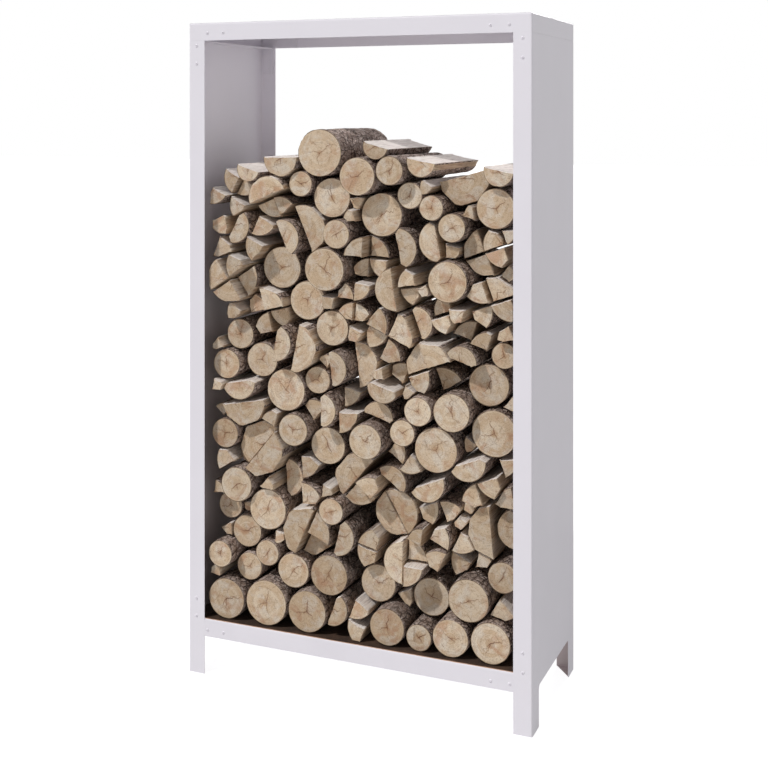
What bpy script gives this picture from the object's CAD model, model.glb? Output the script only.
import math

import bpy
import numpy as np
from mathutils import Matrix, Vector


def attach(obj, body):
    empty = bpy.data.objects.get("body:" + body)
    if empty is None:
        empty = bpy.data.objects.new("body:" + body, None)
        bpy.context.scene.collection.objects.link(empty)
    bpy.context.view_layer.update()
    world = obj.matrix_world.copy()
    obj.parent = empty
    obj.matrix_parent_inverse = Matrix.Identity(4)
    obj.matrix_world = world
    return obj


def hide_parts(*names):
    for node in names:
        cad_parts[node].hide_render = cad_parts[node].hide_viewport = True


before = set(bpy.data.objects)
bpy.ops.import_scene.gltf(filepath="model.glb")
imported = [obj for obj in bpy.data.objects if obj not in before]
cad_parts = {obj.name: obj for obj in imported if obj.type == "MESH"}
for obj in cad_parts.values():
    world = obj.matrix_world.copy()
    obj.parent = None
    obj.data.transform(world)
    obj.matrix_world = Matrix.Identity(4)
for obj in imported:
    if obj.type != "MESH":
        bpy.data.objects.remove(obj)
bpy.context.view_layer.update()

MM = 0.001
TAU = 2 * math.pi
CHECKS = 3  # cracks in a log's end, the first of them the longest
CHECK_REACH = 0.54  # shortest reach of the first, as a share of the end's own reach
CHECK_LESS = 0.17  # how much shorter each next one is
CHECK_MORE = 0.42  # how much longer any of them may be
CHECK_DRIFT = 1.3  # radians that one may bend over

# ---------------------------------------------------------------- node material helpers


class Shader:
    """Short calls for building a node material."""

    def __init__(self, name):
        self.mat = bpy.data.materials.new(name)
        self.mat.use_nodes = True
        self.nt = self.mat.node_tree
        self.nt.nodes.clear()
        self.out = self.nt.nodes.new("ShaderNodeOutputMaterial")
        self.bsdf = self.nt.nodes.new("ShaderNodeBsdfPrincipled")
        self.nt.links.new(self.bsdf.outputs[0], self.out.inputs["Surface"])

    def put(self, socket, value):
        """Link a socket to another, or set its value."""
        if isinstance(value, bpy.types.NodeSocket):
            self.nt.links.new(value, socket)
        elif value is not None:
            socket.default_value = value

    def math(self, op, a, b=None, c=None, clamp=False):
        n = self.nt.nodes.new("ShaderNodeMath")
        n.operation = op
        n.use_clamp = clamp
        for i, v in enumerate((a, b, c)):
            self.put(n.inputs[i], v)
        return n.outputs[0]

    def vmath(self, op, a, b=None, scale=None):
        n = self.nt.nodes.new("ShaderNodeVectorMath")
        n.operation = op
        self.put(n.inputs[0], a)
        self.put(n.inputs[1], b)
        if scale is not None:
            self.put(n.inputs["Scale"], scale)
        return n.outputs["Value" if op == "LENGTH" else "Vector"]

    def split(self, v):
        n = self.nt.nodes.new("ShaderNodeSeparateXYZ")
        self.put(n.inputs[0], v)
        return n.outputs[0], n.outputs[1], n.outputs[2]

    def join(self, x, y, z):
        n = self.nt.nodes.new("ShaderNodeCombineXYZ")
        for i, v in enumerate((x, y, z)):
            self.put(n.inputs[i], v)
        return n.outputs[0]

    def attribute(self, name):
        n = self.nt.nodes.new("ShaderNodeAttribute")
        n.attribute_name = name
        return n.outputs["Vector"]

    def place(self):
        """The place on the object, in metres."""
        return self.nt.nodes.new("ShaderNodeTexCoord").outputs["Object"]

    def facing(self):
        """The surface's own direction."""
        return self.nt.nodes.new("ShaderNodeTexCoord").outputs["Normal"]

    def noise(self, v, scale, detail=3.0, rough=0.55, distort=0.0, dims="3D"):
        n = self.nt.nodes.new("ShaderNodeTexNoise")
        n.noise_dimensions = dims
        self.put(n.inputs["Vector"], v)
        self.put(n.inputs["Scale"], scale)
        self.put(n.inputs["Detail"], detail)
        self.put(n.inputs["Roughness"], rough)
        self.put(n.inputs["Distortion"], distort)
        return n.outputs[0]

    def cells(self, v, scale):
        """The distance to the nearest border between cells."""
        n = self.nt.nodes.new("ShaderNodeTexVoronoi")
        n.feature = "DISTANCE_TO_EDGE"
        self.put(n.inputs["Vector"], v)
        self.put(n.inputs["Scale"], scale)
        return n.outputs["Distance"]

    def random(self, v):
        n = self.nt.nodes.new("ShaderNodeTexWhiteNoise")
        n.noise_dimensions = "1D"
        self.put(n.inputs["W"], v)
        return n.outputs["Value"]

    def ramp(self, fac, stops):
        n = self.nt.nodes.new("ShaderNodeValToRGB")
        elements = n.color_ramp.elements
        while len(elements) < len(stops):
            elements.new(0.5)
        for element, (at, color) in zip(elements, stops):
            element.position = at
            element.color = (*color, 1)
        self.put(n.inputs[0], fac)
        return n.outputs[0]

    def fade(self, v, low, high, to_low=0.0, to_high=1.0):
        """A soft step: to_low where v is at low, to_high where it is at high."""
        n = self.nt.nodes.new("ShaderNodeMapRange")
        n.interpolation_type = "SMOOTHSTEP"
        for i, x in enumerate((v, low, high, to_low, to_high)):
            self.put(n.inputs[i], x)
        return n.outputs[0]

    def mix(self, fac, a, b, mode="MIX"):
        """Colour a, and colour b by the amount of fac."""
        n = self.nt.nodes.new("ShaderNodeMix")
        n.data_type = "RGBA"
        n.blend_type = mode
        self.put(n.inputs["Factor"], fac)
        self.put(n.inputs[6], a if isinstance(a, bpy.types.NodeSocket) else (*a, 1))
        self.put(n.inputs[7], b if isinstance(b, bpy.types.NodeSocket) else (*b, 1))
        return n.outputs[2]

    def lay(self, color, over, amount, mask, low, high):
        """A colour laid over another: not at all where the mask is low, by amount where it is high."""
        return self.mix(self.fade(mask, low, high, 0.0, amount), color, over)

    def bump(self, height, strength, distance):
        n = self.nt.nodes.new("ShaderNodeBump")
        self.put(n.inputs["Strength"], strength)
        self.put(n.inputs["Distance"], distance)
        self.put(n.inputs["Height"], height)
        return n.outputs[0]

    def finish(self, color, roughness, normal=None, **sockets):
        self.put(self.bsdf.inputs["Base Color"], color)
        self.put(self.bsdf.inputs["Roughness"], roughness)
        self.put(self.bsdf.inputs["Normal"], normal)
        for name, value in sockets.items():
            self.put(self.bsdf.inputs[name.replace("_", " ")], value)
        return self.mat


def srgb(r, g, b):
    """Linear colour of an 8-bit sRGB colour."""
    return tuple(
        (c / 255 / 12.92 if c / 255 <= 0.04045 else ((c / 255 + 0.055) / 1.055) ** 2.4)
        for c in (r, g, b)
    )


def dimmed(tint, share):
    return tuple(c * share for c in tint)


# ---------------------------------------------------------------- materials

SHEET = 1.5 * MM
SHELF_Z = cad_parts["shelf_panel"].bound_box[1][2]
SHELF_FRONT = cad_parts["shelf_panel"].bound_box[0][1]
INNER_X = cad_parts["right_side_panel"].bound_box[6][0] - SHEET
INNER_Y = -SHELF_FRONT - SHEET
# Bark dust on the side panels starts at the height of the pile and is full from here down
DUST_TOP, DUST_FULL = 1.28, 0.75


def powder_coat(name, tint, dusty=False):
    """Satin white powder coat: an even colour with faint clouds and a fine orange peel.

    A dusty one has bark dust on the side panels' inner faces, where the logs lie against them."""
    s = Shader(name)
    p = s.place()
    clouds = s.noise(p, 6.0, 3.0)
    speck = s.noise(p, 420.0, 2.0)
    dark = dimmed(tint, 0.985)
    color = s.mix(s.fade(clouds, 0.35, 0.65), dark, tint)
    color = s.lay(color, dimmed(tint, 0.9), 0.12, speck, 0.62, 0.75)
    if dusty:
        x, y, z = s.split(p)
        x, y = s.math("ABSOLUTE", x), s.math("ABSOLUTE", y)
        within = s.fade(x, INNER_X - 0.1 * MM, INNER_X + 0.4 * MM, 1.0, 0.0)
        within = s.math("MULTIPLY", within, s.fade(y, INNER_Y, INNER_Y + MM, 1.0, 0.0))
        uneven = s.math("MULTIPLY", s.noise(p, 9.0, 4.0), 0.2)
        low = s.fade(s.math("ADD", z, uneven), DUST_TOP, DUST_FULL, 0.0, 0.5)
        color = s.mix(s.math("MULTIPLY", within, low), color, srgb(150, 118, 92))
    peel = s.noise(p, 900.0, 2.0)
    rough = s.fade(clouds, 0.3, 0.7, 0.45, 0.49)
    return s.finish(color, rough, s.bump(peel, 0.12, 0.4 * MM), Specular_IOR_Level=0.45)


def grain_place(s):
    """The log's own coordinates: across the pith, along the grain, and its seed."""
    x, z, seed = s.split(s.attribute("pith"))
    _, y, _ = s.split(s.place())
    return x, y, z, seed


def check_gap(s, x, z, r, seed, reach_r):
    """How far off the nearest check a place is, in widths of that check.

    A check is a crack out of the pith, which bends with the radius and closes before the bark."""
    angle = s.math("ARCTAN2", z, x)
    gap = None
    for i in range(CHECKS):
        own = s.math("ADD", s.math("MULTIPLY", seed, 17.0), 3.1 * i + 0.5)
        turn = s.math("MULTIPLY", s.math("ADD", s.random(own), i * 1.0), TAU / CHECKS)
        drift = s.noise(s.join(r, own, 0.0), 60.0, 4.0, 0.62, dims="2D")
        drift = s.math("MULTIPLY", s.math("SUBTRACT", drift, 0.5), CHECK_DRIFT)
        off = s.math("SUBTRACT", s.math("ADD", angle, drift), turn)
        off = s.math("WRAP", off, math.pi, -math.pi)
        across = s.math("MULTIPLY", s.math("ABSOLUTE", off), r)
        length = s.math("MULTIPLY", s.random(s.math("ADD", own, 40.0)), CHECK_MORE)
        reach = s.math("MULTIPLY", reach_r, s.math("ADD", CHECK_REACH - CHECK_LESS * i, length))
        left = s.math("SUBTRACT", 1.0, s.math("DIVIDE", r, reach), clamp=True)
        width = s.math("MULTIPLY", s.math("POWER", left, 0.5), 0.8 * MM if i == 0 else 0.6 * MM)
        one = s.math("DIVIDE", across, s.math("MAXIMUM", width, 0.01 * MM))
        gap = one if gap is None else s.math("MINIMUM", gap, one)
    return gap


def end_grain(name="wood_end_grain"):
    """A sawn end: faint rings about the pith, a few long checks and a thin rim of bark."""
    s = Shader(name)
    x, y, z, seed = grain_place(s)
    shade, rim_r, reach_r = s.split(s.attribute("log"))
    # the two ends of a log differ
    back = s.math("MULTIPLY", s.math("GREATER_THAN", y, 0.0), 7.3)
    seed = s.math("ADD", seed, back)
    flat = s.join(x, z, s.math("MULTIPLY", seed, 3.7))
    r0 = s.vmath("LENGTH", s.join(x, z, 0.0))
    wobble = s.noise(flat, 20.0, 3.0)
    r = s.math("MULTIPLY", r0, s.math("ADD", 0.78, s.math("MULTIPLY", wobble, 0.44)))
    # growth rings: uneven bands of noise over the radius, which fade in and out around the end
    line = s.join(r, s.math("MULTIPLY", seed, 0.37), 0.0)
    rings = s.noise(line, 330.0, 2.0, 0.6, dims="2D")
    broad = s.noise(line, 60.0, 2.0, 0.5, dims="2D")
    there = s.fade(s.noise(flat, 34.0, 2.0), 0.40, 0.66, 0.08, 0.8)
    apart = s.join(x, z, s.math("ADD", s.math("MULTIPLY", seed, 3.7), 5.0))
    stain = s.noise(apart, 24.0, 5.0, 0.62, 0.8)
    bleach = s.noise(apart, 33.0, 4.0, 0.6, 0.5)
    cloud = s.noise(flat, 75.0, 4.0, 0.62)
    fine = s.noise(flat, 620.0, 4.0, 0.7)
    color = s.mix(s.fade(broad, 0.38, 0.64), srgb(216, 191, 161), srgb(230, 211, 186))
    color = s.lay(color, srgb(232, 222, 208), 0.70, bleach, 0.46, 0.64)
    color = s.lay(color, srgb(194, 148, 116), 0.68, stain, 0.50, 0.68)
    color = s.lay(color, srgb(192, 168, 142), 0.42, cloud, 0.52, 0.68)
    ring_dark = s.math("MULTIPLY", s.fade(rings, 0.46, 0.60, 0.0, 0.36), there)
    color = s.mix(ring_dark, color, srgb(170, 138, 108))
    color = s.lay(color, srgb(150, 118, 92), 0.62, fine, 0.50, 0.68)
    fleck = s.noise(apart, 260.0, 3.0, 0.7, 0.6)
    color = s.lay(color, srgb(152, 118, 92), 0.45, fleck, 0.54, 0.70)
    color = s.lay(color, srgb(240, 228, 210), 0.30, fine, 0.46, 0.30)
    color = s.mix(s.fade(r0, 0.0, 12 * MM, 0.42, 0.0), color, srgb(168, 122, 84))
    gap = check_gap(s, x, z, r0, seed, reach_r)
    broken = s.fade(s.noise(flat, 230.0, 2.0), 0.36, 0.52, 0.45, 1.0)
    crack = s.math("MULTIPLY", s.fade(gap, 0.5, 1.4, 1.0, 0.0), broken)
    halo = s.fade(gap, 0.8, 6.0, 0.30, 0.0)
    color = s.mix(halo, color, srgb(180, 132, 98))
    color = s.mix(s.math("MULTIPLY", crack, 0.88), color, srgb(104, 70, 50))
    # hair cracks across the rings
    web = s.cells(s.join(x, z, seed), 26.0)
    hair = s.math("MULTIPLY", s.fade(web, 0.0, 0.022, 0.42, 0.0), s.fade(cloud, 0.44, 0.58))
    color = s.mix(hair, color, srgb(126, 92, 66))
    # sapwood, bast and bark, inwards from the edge
    rim = s.math("SUBTRACT", rim_r, r0)
    rim = s.math("ADD", rim, s.math("MULTIPLY", s.math("SUBTRACT", fine, 0.5), 1.6 * MM))
    color = s.lay(color, srgb(232, 220, 198), 0.34, rim, 4.6 * MM, 3.0 * MM)
    color = s.lay(color, srgb(176, 142, 104), 0.6, rim, 3.0 * MM, 2.4 * MM)
    color = s.lay(color, srgb(112, 94, 80), 0.9, rim, 2.4 * MM, 1.4 * MM)
    tone = s.ramp(
        shade,
        [(0.0, (0.74, 0.72, 0.70)), (0.5, (0.90, 0.895, 0.89)), (1.0, (1.0, 1.0, 1.0))],
    )
    color = s.mix(1.0, color, tone, "MULTIPLY")
    saw = s.noise(s.vmath("MULTIPLY", s.join(x, z, seed), (140.0, 900.0, 1.0)), 1.0, 2.0)
    height = s.math("ADD", s.math("MULTIPLY", rings, 0.3), s.math("MULTIPLY", saw, 0.5))
    height = s.math("ADD", height, s.math("MULTIPLY", cloud, 1.5))
    height = s.math("SUBTRACT", height, s.math("MULTIPLY", crack, 2.2))
    return s.finish(color, 0.85, s.bump(height, 0.6, 0.8 * MM), Specular_IOR_Level=0.15)


def bark(name="wood_bark"):
    """Rough bark: crackled plates, pale where weathered and dark in the furrows."""
    s = Shader(name)
    x, y, z, seed = grain_place(s)
    shade, _, _ = s.split(s.attribute("log"))
    p = s.join(x, s.math("MULTIPLY", y, 0.55), s.math("ADD", z, seed))
    warp = s.join(s.noise(p, 60.0), s.noise(p, 47.0), s.noise(p, 71.0))
    warp = s.vmath("SCALE", s.vmath("SUBTRACT", warp, (0.5, 0.5, 0.5)), scale=16 * MM)
    q = s.vmath("ADD", p, warp)
    plates = s.cells(q, 92.0)
    small = s.cells(q, 230.0)
    blotch = s.noise(p, 24.0, 4.0, 0.6)
    grit = s.noise(p, 500.0, 3.0, 0.7)
    color = s.ramp(
        s.noise(q, 70.0, 5.0, 0.65),
        [
            (0.30, srgb(126, 108, 100)),
            (0.44, srgb(166, 148, 138)),
            (0.58, srgb(200, 184, 176)),
            (0.72, srgb(222, 210, 202)),
        ],
    )
    color = s.lay(color, srgb(118, 100, 86), 0.55, blotch, 0.52, 0.68)
    color = s.lay(color, srgb(222, 214, 206), 0.4, grit, 0.55, 0.72)
    furrow = s.fade(plates, 0.0, 0.16, 1.0, 0.0)
    furrow = s.math("MULTIPLY", furrow, s.fade(s.noise(q, 38.0, 3.0), 0.36, 0.58, 0.25, 1.0))
    color = s.mix(s.math("MULTIPLY", furrow, 0.95), color, srgb(48, 36, 30))
    color = s.mix(s.fade(small, 0.0, 0.14, 0.6, 0.0), color, srgb(70, 54, 46))
    tone = s.ramp(shade, [(0.0, (0.92, 0.90, 0.88)), (1.0, (1.34, 1.31, 1.28))])
    color = s.mix(1.0, color, tone, "MULTIPLY")
    height = s.math("ADD", s.fade(plates, 0.0, 0.28), s.math("MULTIPLY", s.fade(small, 0.0, 0.25), 0.35))
    height = s.math("ADD", height, s.math("MULTIPLY", grit, 0.35))
    return s.finish(color, 0.92, s.bump(height, 0.8, 2.2 * MM), Specular_IOR_Level=0.15)


def split_face(name="wood_split_face"):
    """A riven face: pale, with fibres and streaks along the grain, and bleached where it faces up."""
    s = Shader(name)
    x, y, z, seed = grain_place(s)
    shade, _, _ = s.split(s.attribute("log"))
    p = s.join(x, s.math("MULTIPLY", y, 0.045), s.math("ADD", z, seed))
    fibre = s.noise(p, 420.0, 4.0, 0.65)
    streak = s.noise(p, 90.0, 3.0, 0.6)
    broad = s.noise(s.join(x, s.math("MULTIPLY", y, 0.3), s.math("ADD", z, seed)), 24.0, 3.0)
    color = s.ramp(
        streak,
        [(0.30, srgb(190, 160, 130)), (0.50, srgb(216, 194, 168)), (0.70, srgb(236, 222, 204))],
    )
    color = s.lay(color, srgb(140, 108, 84), 0.65, fibre, 0.46, 0.66)
    color = s.lay(color, srgb(188, 148, 118), 0.35, broad, 0.52, 0.72)
    tone = s.ramp(shade, [(0.0, (0.74, 0.722, 0.705)), (1.0, (1.0, 1.0, 0.99))])
    color = s.mix(1.0, color, tone, "MULTIPLY")
    _, _, up = s.split(s.facing())
    silver = s.mix(s.fade(fibre, 0.46, 0.66, 0.0, 0.6), srgb(250, 244, 240), srgb(176, 164, 158))
    color = s.lay(color, silver, 0.75, up, 0.35, 0.85)
    height = s.math("ADD", s.math("MULTIPLY", fibre, 0.7), s.math("MULTIPLY", streak, 0.9))
    return s.finish(color, 0.8, s.bump(height, 0.6, 1.2 * MM), Specular_IOR_Level=0.25)


def dusty_shelf(name, tint):
    """The shelf: its coat is hidden under bark dust on top, up to a worn line along the front bend."""
    s = Shader(name)
    p = s.place()
    _, y, z = s.split(p)
    clouds = s.noise(p, 6.0, 3.0)
    color = s.mix(s.fade(clouds, 0.35, 0.65), dimmed(tint, 0.965), tint)
    crumbs = s.noise(p, 300.0, 4.0, 0.7)
    patches = s.noise(p, 22.0, 4.0, 0.6)
    dust = s.mix(s.fade(patches, 0.4, 0.65), srgb(46, 34, 28), srgb(74, 54, 42))
    dust = s.lay(dust, srgb(140, 108, 80), 0.6, crumbs, 0.58, 0.74)
    inward = s.math("SUBTRACT", y, SHELF_FRONT)
    ragged = s.math("ADD", inward, s.math("MULTIPLY", s.math("SUBTRACT", crumbs, 0.5), 0.6 * MM))
    on_top = s.fade(s.math("SUBTRACT", SHELF_Z, z), 0.4 * MM, 1.6 * MM, 1.0, 0.0)
    worn = s.math("MULTIPLY", s.fade(ragged, 1.2 * MM, 2.0 * MM), on_top)
    color = s.mix(s.math("MULTIPLY", worn, 0.85), color, srgb(196, 146, 104))
    cover = s.math("MULTIPLY", s.fade(ragged, 2.8 * MM, 4.0 * MM), on_top)
    color = s.mix(s.math("MULTIPLY", cover, 0.96), color, dust)
    rough = s.fade(cover, 0.0, 1.0, 0.46, 0.95)
    loose = s.math("MULTIPLY", s.math("MULTIPLY", crumbs, cover), 4.0)
    height = s.math("ADD", s.noise(p, 900.0, 2.0), loose)
    return s.finish(color, rough, s.bump(height, 0.12, 0.6 * MM), Specular_IOR_Level=0.35)


PANEL_TINT = srgb(240, 236, 243)
coat = powder_coat("white_powder_coat", PANEL_TINT)
coat_side = powder_coat("white_powder_coat_sides", PANEL_TINT, dusty=True)
coat_shelf = dusty_shelf("dusty_shelf_coat", PANEL_TINT)
coat_bracket = powder_coat("white_bracket_coat", dimmed(PANEL_TINT, 0.95))
coat_screw = powder_coat("white_screw_coat", dimmed(PANEL_TINT, 0.98))
END, BARK, SPLIT = 0, 1, 2
wood = [end_grain(), bark(), split_face()]

# ---------------------------------------------------------------- the rack keeps its CAD shapes

for node_name, node_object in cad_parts.items():
    if "logs" in node_name or node_name.startswith("top_log"):
        continue
    if node_name.startswith("screws"):
        material = coat_screw
    elif node_name.startswith("bracket"):
        material = coat_bracket
    elif node_name == "shelf_panel":
        material = coat_shelf
    elif node_name.endswith("side_panel"):
        material = coat_side
    else:
        material = coat
    node_object.data.materials.clear()
    node_object.data.materials.append(material)

# ---------------------------------------------------------------- noise for the logs' relief


def lattice(ix, iy, iz, seed):
    """A fixed pseudo-random number from 0 to 1 at every whole point."""
    h = (ix * 374761393 + iy * 668265263 + iz * 2147483647 + seed * 974634777) & 0xFFFFFFFF
    h = ((h ^ (h >> 13)) * 1274126177) & 0xFFFFFFFF
    return ((h ^ (h >> 16)) & 0xFFFFFF) / float(0xFFFFFF)


def value_noise(p, seed):
    """Smooth noise from 0 to 1 at each row of p."""
    base = np.floor(p).astype(np.int64)
    f = p - base
    f = f * f * (3 - 2 * f)
    total = np.zeros(len(p))
    for dx in (0, 1):
        for dy in (0, 1):
            for dz in (0, 1):
                w = (
                    np.where(dx, f[:, 0], 1 - f[:, 0])
                    * np.where(dy, f[:, 1], 1 - f[:, 1])
                    * np.where(dz, f[:, 2], 1 - f[:, 2])
                )
                total += w * lattice(base[:, 0] + dx, base[:, 1] + dy, base[:, 2] + dz, seed)
    return total


def fractal(p, seed, octaves):
    """Noise from 0 to 1, each octave twice as fine as the last and half as strong."""
    total, weight = np.zeros(len(p)), 0.0
    for i in range(octaves):
        total += value_noise(p * 2.0**i, seed + i) * 0.5**i
        weight += 0.5**i
    return total / weight


# ---------------------------------------------------------------- reading a log off its CAD solid

SAME_PLACE = 0.02 * MM
WIDEST_BOLE = 140 * MM  # a circle wider than this is no bark
NO_RIM = 500 * MM  # a bole so wide that a wedge's end shows no rim of bark


def loose_parts(mesh):
    """The points of each separate solid of a mesh."""
    co = np.empty(len(mesh.vertices) * 3, np.float32)
    mesh.vertices.foreach_get("co", co)
    co = co.reshape(-1, 3).astype(float)
    keys = np.round(co / SAME_PLACE).astype(np.int64)
    unique, index = np.unique(keys, axis=0, return_inverse=True)
    index = index.reshape(-1)
    parent = np.arange(len(unique))

    def root(i):
        while parent[i] != i:
            parent[i] = parent[parent[i]]
            i = parent[i]
        return i

    for e in mesh.edges:
        a, b = root(index[e.vertices[0]]), root(index[e.vertices[1]])
        if a != b:
            parent[a] = b
    roots = np.array([root(i) for i in range(len(unique))])
    first = np.zeros(len(unique), int)
    first[index] = np.arange(len(co))
    places = co[first]
    return [places[roots == r] for r in np.unique(roots)]


def circle_through(a, b, c):
    """Centre and radius of the circle through three points."""
    m = np.array([b - a, c - a]) * 2
    if abs(np.linalg.det(m)) < 1e-12:
        return None
    v = np.array([(b @ b) - (a @ a), (c @ c) - (a @ a)])
    centre = np.linalg.solve(m, v)
    return centre, np.linalg.norm(a - centre)


def settle_circle(front, circle):
    """The circle fitted again to every outline point that lies on it."""
    for _ in range(4):
        centre, radius = circle
        on = front[np.abs(np.linalg.norm(front - centre, axis=1) - radius) < 0.3 * MM]
        if len(on) < 4:
            break
        middle = on.mean(0)
        q = on - middle
        rows = np.column_stack([2 * q, np.ones(len(q))])
        a, b, c = np.linalg.lstsq(rows, (q**2).sum(1), rcond=None)[0]
        circle = (middle + (a, b), math.sqrt(max(c + a * a + b * b, 1e-9)))
    return circle


def read_log(points):
    """One convex solid as its front outline, its ends, which of its edges carry bark, and its bole.

    The bark's edges are steps of one circle. The circle that most neighbouring triples of points
    agree on is the bole that the piece was split from."""
    y0, y1 = points[:, 1].min(), points[:, 1].max()
    front = points[points[:, 1] < y0 + 0.1 * MM][:, [0, 2]]
    front = np.unique(np.round(front, 6), axis=0)
    mid = front.mean(0)
    front = front[np.argsort(np.arctan2(front[:, 1] - mid[1], front[:, 0] - mid[0]))]
    front = front[np.linalg.norm(front - np.roll(front, 1, axis=0), axis=1) > 0.08 * MM]
    n = len(front)
    length = [np.linalg.norm(front[(i + 1) % n] - front[i]) for i in range(n)]
    found = []
    for i in range(n):
        a, b, c = front[i - 1], front[i], front[(i + 1) % n]
        hit = circle_through(a, b, c)
        if hit is None or hit[1] > WIDEST_BOLE:
            continue
        if abs(length[i - 1] - length[i]) > 0.35 * max(length[i - 1], length[i]):
            continue
        found.append(hit)
    best, votes = None, 0
    for centre, radius in found:
        near = 0.4 * MM + 0.03 * radius
        same = sum(
            np.linalg.norm(centre - c) < near and abs(radius - r) < near for c, r in found
        )
        if same > votes:
            best, votes = (centre, radius), same
    barked = [False] * n
    if best is not None and votes >= 2:
        best = settle_circle(front, best)
        on = [abs(np.linalg.norm(p - best[0]) - best[1]) < 0.15 * MM for p in front]
        steps = [length[i] for i in range(n) if on[i] and on[(i + 1) % n]]
        step = np.median(steps) if steps else 0
        for i in range(n):
            sagitta = best[1] - np.linalg.norm((front[i] + front[(i + 1) % n]) / 2 - best[0])
            short = length[i] < 2.2 * step and sagitta < 1.5 * MM
            barked[i] = on[i] and on[(i + 1) % n] and short
    if not any(barked):
        # a wedge without bark: its pith lies just past its farthest corner
        far = front[np.argmax(np.linalg.norm(front - mid, axis=1))]
        best = (far + (far - mid) * 0.1, NO_RIM)
    return front, y0, y1, barked, best[0], best[1]


# ---------------------------------------------------------------- building a log

STEP = 4.2 * MM  # distance between points round a log
RING = 11.0 * MM  # distance between points along it
CAP_RINGS = 4  # rings of faces from a sawn end's edge to its middle
CAP_RIM = 0.97  # size of the first of them, close inside the edge
CAP_LIFT = 0.1 * MM  # how far they lie inside the CAD end at the least
LUMP = 2.6 * MM  # most that the bark's slow relief stands in
PLATE = 2.6 * MM  # depth between its plates
WANE = 1.6 * MM  # slow relief of a riven face
FIBRE = 2.2 * MM  # its fibres
EDGE_WEAR = 0.7 * MM  # how far the sawn edge is worn inwards
END_IN = 0.6 * MM  # how far a sawn end lies inside the CAD end
SAW = 0.8 * MM  # relief of a sawn end
# waves per metre across, along and up
LUMP_WAVES, PLATE_WAVES, FIBRE_WAVES = (34, 9, 34), (150, 60, 150), (130, 5, 130)
SAW_WAVES = 90


def outline_points(front, barked, pith, radius):
    """The outline at even steps: its points, their outward normals and which carry bark."""
    n = len(front)
    points, normals, skin = [], [], []
    runs = []
    start = next((k for k in range(n) if barked[k - 1] != barked[k]), 0)
    for k in [(start + i) % n for i in range(n)]:
        if barked[k] and runs and runs[-1][0] and runs[-1][1][-1] == k:
            runs[-1][1].append((k + 1) % n)
        else:
            runs.append([barked[k], [k, (k + 1) % n]])
    for is_bark, corners in runs:
        a, b = front[corners[0]], front[corners[-1]]
        if is_bark:
            first = math.atan2(*(a - pith)[::-1])
            last = math.atan2(*(b - pith)[::-1])
            if last <= first + 1e-9:
                last += TAU
            steps = max(2, round((last - first) * radius / STEP))
            for j in range(steps):
                turn = first + (last - first) * j / steps
                outward = np.array([math.cos(turn), math.sin(turn)])
                points.append(pith + outward * radius)
                normals.append(outward)
                skin.append(True)
        else:
            steps = max(1, round(np.linalg.norm(b - a) / STEP))
            along = (b - a) / np.linalg.norm(b - a)
            for j in range(steps):
                points.append(a + (b - a) * j / steps)
                normals.append(np.array([along[1], -along[0]]))
                skin.append(False)
    return np.array(points), np.array(normals), np.array(skin)


def relief(outline, skin, lump, y, seed):
    """How far each point of the outline stands in at the place y along the log."""
    places = np.column_stack([outline[:, 0], np.full(len(outline), y), outline[:, 1]])
    lumps = fractal(places * np.array(LUMP_WAVES) + 50, seed, 2)
    plates = fractal(places * np.array(PLATE_WAVES) + 50, seed + 7, 2)
    fibre = fractal(places * np.array(FIBRE_WAVES) + 50, seed + 13, 3)
    on_bark = lumps * lump + np.clip(plates - 0.35, 0, 1) * PLATE
    return np.where(skin, on_bark, lumps * WANE + fibre * FIBRE)


def sawn_end(verts, faces, edge, sign, seed):
    """Close an end, slightly uneven: rings of quads, and triangles about the middle."""
    around = len(edge)
    rim = np.array([verts[i] for i in edge])
    middle = rim.mean(0)
    level = rim[:, 1].mean()
    outer = edge
    for ring in range(1, CAP_RINGS):
        row = middle + (rim - middle) * (CAP_RIM if ring == 1 else 1 - ring / CAP_RINGS)
        rough = fractal(row * SAW_WAVES + 20, seed, 2)
        row[:, 1] = level + sign * (rough * SAW - END_IN + CAP_LIFT)
        inner = list(range(len(verts), len(verts) + around))
        verts.extend(row)
        for j in range(around):
            a, b = outer[j], outer[(j + 1) % around]
            c, d = inner[(j + 1) % around], inner[j]
            faces.append((b, a, d, c) if sign > 0 else (a, b, c, d))
        outer = inner
    hub = len(verts)
    verts.append(np.array([middle[0], level, middle[2]]))
    for j in range(around):
        a, b = outer[j], outer[(j + 1) % around]
        faces.append((b, a, hub) if sign > 0 else (a, b, hub))


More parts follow.
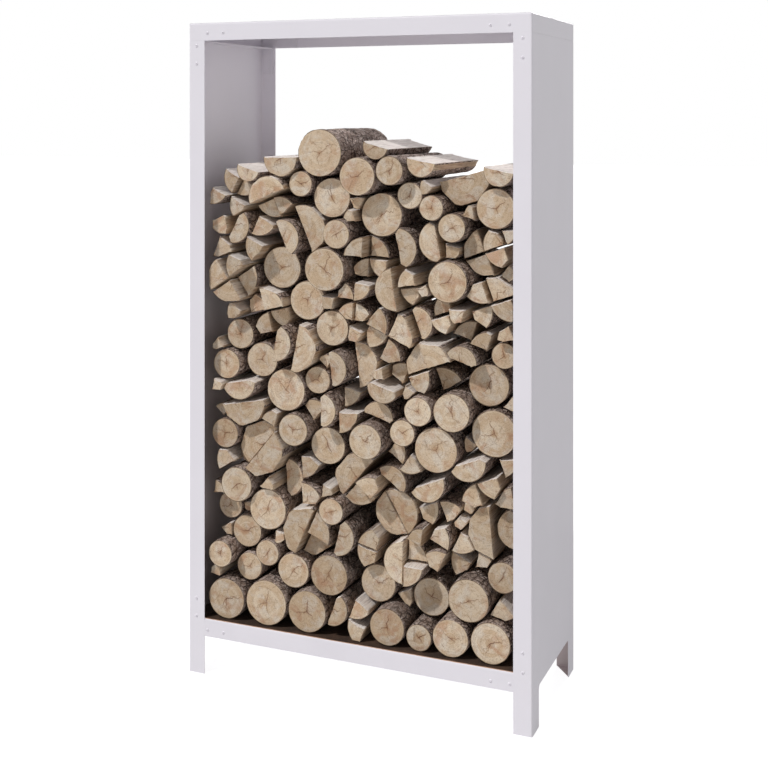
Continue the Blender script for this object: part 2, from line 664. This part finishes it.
def build_log(points):
    """Vertices, faces, their materials and the two attributes of one log."""
    front, y0, y1, barked, pith, radius = read_log(points)
    outline, normals, skin = outline_points(front, barked, pith, radius)
    around = len(outline)
    seed = int(abs(pith[0] * 7919 + pith[1] * 104729 + front[0][0] * 1299709) * 10) % 99991
    rng = np.random.default_rng(seed)
    rings = max(6, round((y1 - y0) / RING))
    centre = outline.mean(0)
    inward = np.array([(centre - p) / max(np.linalg.norm(centre - p), 1e-6) for p in outline])
    # the mean of an edge's normal and the way to the middle keeps corners from crossing
    pull = -normals * 0.75 + inward * 0.25
    lump = min(LUMP, 0.05 * radius if skin.any() else 2 * MM)
    verts, faces, mats = [], [], []
    for k, y in enumerate(y0 + (y1 - y0) * np.linspace(0, 1, rings + 1)):
        deep = relief(outline, skin, lump, y, seed)
        if k in (0, rings):
            deep = deep + EDGE_WEAR
            y += END_IN if k == 0 else -END_IN
        moved = outline + pull * deep[:, None]
        verts.extend(np.column_stack([moved[:, 0], np.full(around, y), moved[:, 1]]))
    for k in range(rings):
        for j in range(around):
            a, b = k * around + j, k * around + (j + 1) % around
            faces.append((a, b, b + around, a + around))
            mats.append(BARK if skin[j] else SPLIT)
    for k, sign in ((0, 1), (rings, -1)):
        edge = list(range(k * around, (k + 1) * around))
        sawn_end(verts, faces, edge, sign, seed + 31 + k)
    mats += [END] * (len(faces) - len(mats))
    verts = np.array(verts)
    # where the pith is and a number of the log's own, for the grain
    own = (seed % 997) / 97.0
    place = [verts[:, 0] - pith[0], verts[:, 2] - pith[1], np.full(len(verts), own)]
    # the log's shade, the radius inside its bark and how far the end reaches from the pith
    rng.normal(size=2)  # passed over, so that each log keeps its shade
    reach = np.linalg.norm(front - pith, axis=1).max()
    about = np.tile([rng.random(), radius - 0.5 * lump, reach], (len(verts), 1))
    return verts, faces, mats, np.column_stack(place), about


def log_object(name, node_name, body):
    """All the logs of one CAD node, joined, in the node's place."""
    verts, faces, mats, pith, about = [], [], [], [], []
    base = 0
    for points in loose_parts(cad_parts[node_name].data):
        one_verts, one_faces, one_mats, one_pith, one_about = build_log(points)
        verts.append(one_verts)
        faces.extend(tuple(i + base for i in face) for face in one_faces)
        mats.extend(one_mats)
        pith.append(one_pith)
        about.append(one_about)
        base += len(one_verts)
    mesh = bpy.data.meshes.new(name)
    mesh.from_pydata(np.concatenate(verts).tolist(), [], faces)
    for mat in wood:
        mesh.materials.append(mat)
    mesh.polygons.foreach_set("material_index", mats)
    for label, data in (("pith", np.concatenate(pith)), ("log", np.concatenate(about))):
        layer = mesh.attributes.new(label, "FLOAT_VECTOR", "POINT")
        layer.data.foreach_set("vector", data.astype(np.float32).ravel())
    mesh.polygons.foreach_set("use_smooth", np.array([mat != END for mat in mats]))
    mesh.update()
    mesh.validate()
    obj = bpy.data.objects.new(name, mesh)
    bpy.context.scene.collection.objects.link(obj)
    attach(obj, body)
    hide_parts(node_name)


for node_name in sorted(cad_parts):
    if "logs" in node_name:
        log_object("firewood_" + node_name, node_name, "rack")
    elif node_name.startswith("top_log"):
        log_object("firewood_" + node_name, node_name, node_name + "_body")

# ---------------------------------------------------------------- stage, lights and camera

FLOOR_HALF = 30  # metres from the rack to the floor's edge
FLOOR_GLOW = 0.36  # what the floor gives off as light
FLOOR_SEEN = 0.88  # what the camera sees it give off
LOW_LIGHT, HIGH_LIGHT = 0.73, 0.10  # the studio's light from low down and from overhead
LOW_TO, HIGH_FROM = 0.12, 0.65  # sines of the heights between which the first fades to the second
CAMERA_AT = (1.09076, -2.65486, 1.25259)
CAMERA_TURN = 22.785  # degrees that it is turned to the left
LENS = 59.314
LENS_SHIFT = (0.015625, -0.34733)


def stage_material():
    """A pale floor that the camera sees whiter than the light it gives."""
    s = Shader("stage_floor")
    p = s.place()
    color = s.mix(s.fade(s.noise(p, 1.5, 2.0), 0.3, 0.7), srgb(158, 158, 159), srgb(162, 162, 162))
    seen = s.nt.nodes.new("ShaderNodeLightPath").outputs["Is Camera Ray"]
    strength = s.math("ADD", FLOOR_GLOW, s.math("MULTIPLY", seen, FLOOR_SEEN - FLOOR_GLOW))
    glow = {"Emission_Color": (1, 1, 1, 1), "Emission_Strength": strength}
    return s.finish(color, 0.9, None, Specular_IOR_Level=0.1, **glow)


def lay_floor():
    mesh = bpy.data.meshes.new("floor")
    corners = ((-1, -1), (1, -1), (1, 1), (-1, 1))
    mesh.from_pydata([(x * FLOOR_HALF, y * FLOOR_HALF, 0) for x, y in corners], [], [(0, 1, 2, 3)])
    mesh.materials.append(stage_material())
    floor = bpy.data.objects.new("floor", mesh)
    bpy.context.scene.collection.objects.link(floor)


def sun(name, azimuth, elevation, power, angle):
    """Even light from a far softbox; azimuth 0 is in front of the rack, positive to its right."""
    light = bpy.data.lights.new(name, "SUN")
    light.energy = power
    light.angle = math.radians(angle)
    a, e = math.radians(azimuth), math.radians(elevation)
    toward = Vector((math.sin(a) * math.cos(e), -math.cos(a) * math.cos(e), math.sin(e)))
    lamp = bpy.data.objects.new(name, light)
    lamp.rotation_euler = toward.to_track_quat("Z", "Y").to_euler()
    bpy.context.scene.collection.objects.link(lamp)


def white_studio():
    """White to the camera; its light comes mostly from low down all round."""
    world = bpy.data.worlds.new("studio")
    bpy.context.scene.world = world
    world.use_nodes = True
    nodes, links = world.node_tree.nodes, world.node_tree.links
    direction = nodes.new("ShaderNodeTexCoord").outputs["Generated"]
    upward = nodes.new("ShaderNodeSeparateXYZ")
    links.new(direction, upward.inputs[0])
    height = nodes.new("ShaderNodeMapRange")
    height.interpolation_type = "SMOOTHSTEP"
    links.new(upward.outputs[2], height.inputs[0])
    for socket, value in zip((1, 2, 3, 4), (LOW_TO, HIGH_FROM, LOW_LIGHT, HIGH_LIGHT)):
        height.inputs[socket].default_value = value
    seen = nodes.new("ShaderNodeLightPath").outputs["Is Camera Ray"]
    strength = nodes.new("ShaderNodeMath")
    strength.operation = "MAXIMUM"
    links.new(height.outputs[0], strength.inputs[0])
    links.new(seen, strength.inputs[1])
    links.new(strength.outputs[0], nodes["Background"].inputs["Strength"])
    nodes["Background"].inputs["Color"].default_value = (1, 1, 1, 1)


def photo_camera():
    """The camera solved from the photo's perspective: level, with its frame shifted down."""
    data = bpy.data.cameras.new("camera")
    data.sensor_width = 36
    data.lens = LENS
    data.shift_x, data.shift_y = LENS_SHIFT
    data.clip_start = 0.05
    data.clip_end = 60
    camera = bpy.data.objects.new("camera", data)
    camera.location = CAMERA_AT
    camera.rotation_euler = (math.radians(90), 0, math.radians(CAMERA_TURN))
    bpy.context.scene.collection.objects.link(camera)
    bpy.context.scene.camera = camera


lay_floor()
sun("key", -31, 51, 1.90, 2.5)
sun("back", 180, 24, 1.2, 20)
white_studio()
photo_camera()
bpy.context.scene.view_settings.view_transform = "Standard"
